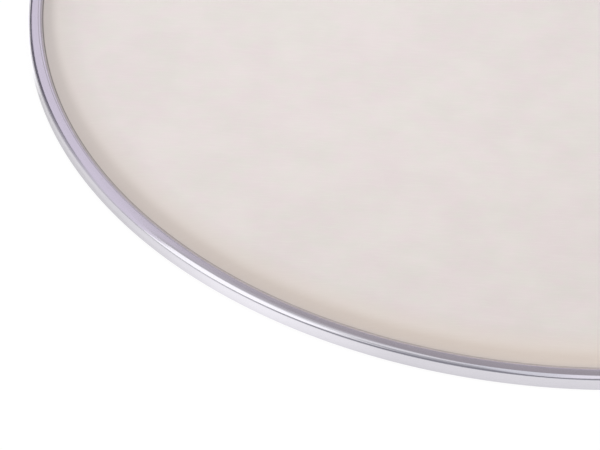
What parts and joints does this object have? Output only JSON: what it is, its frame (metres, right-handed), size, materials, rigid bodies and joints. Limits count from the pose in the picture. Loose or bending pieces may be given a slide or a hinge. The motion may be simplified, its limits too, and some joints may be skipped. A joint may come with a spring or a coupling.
{
  "type": "drum head",
  "caption": "Round drum head: translucent film with a fibre facing and a formed collar, its margin keyed with resin into an aluminium channel hoop that slips over a drum shell.",
  "frame": {"origin": "on the hoop's axis, in the plane that the hoop rests on", "axes": "+Z along the hoop's axis, from the resting plane towards the playing face; X and Y across the head, with no preferred direction"},
  "size_m": [0.576, 0.576, 0.0139],
  "materials": {
    "hoop": "bright rolled aluminium with fine lines round the hoop",
    "insert": "plain mill finish",
    "film": "smooth translucent polyester",
    "facing": "satin fibre layer with faint clumps, warm white",
    "resin": "set resin, amber"
  },
  "bodies": {
    "root": {"hoop_channel": "hoop", "insert_ring": "insert", "base_film": "film", "fibre_facing": "facing", "resin_bead": "resin"}
  },
  "joints": []
}
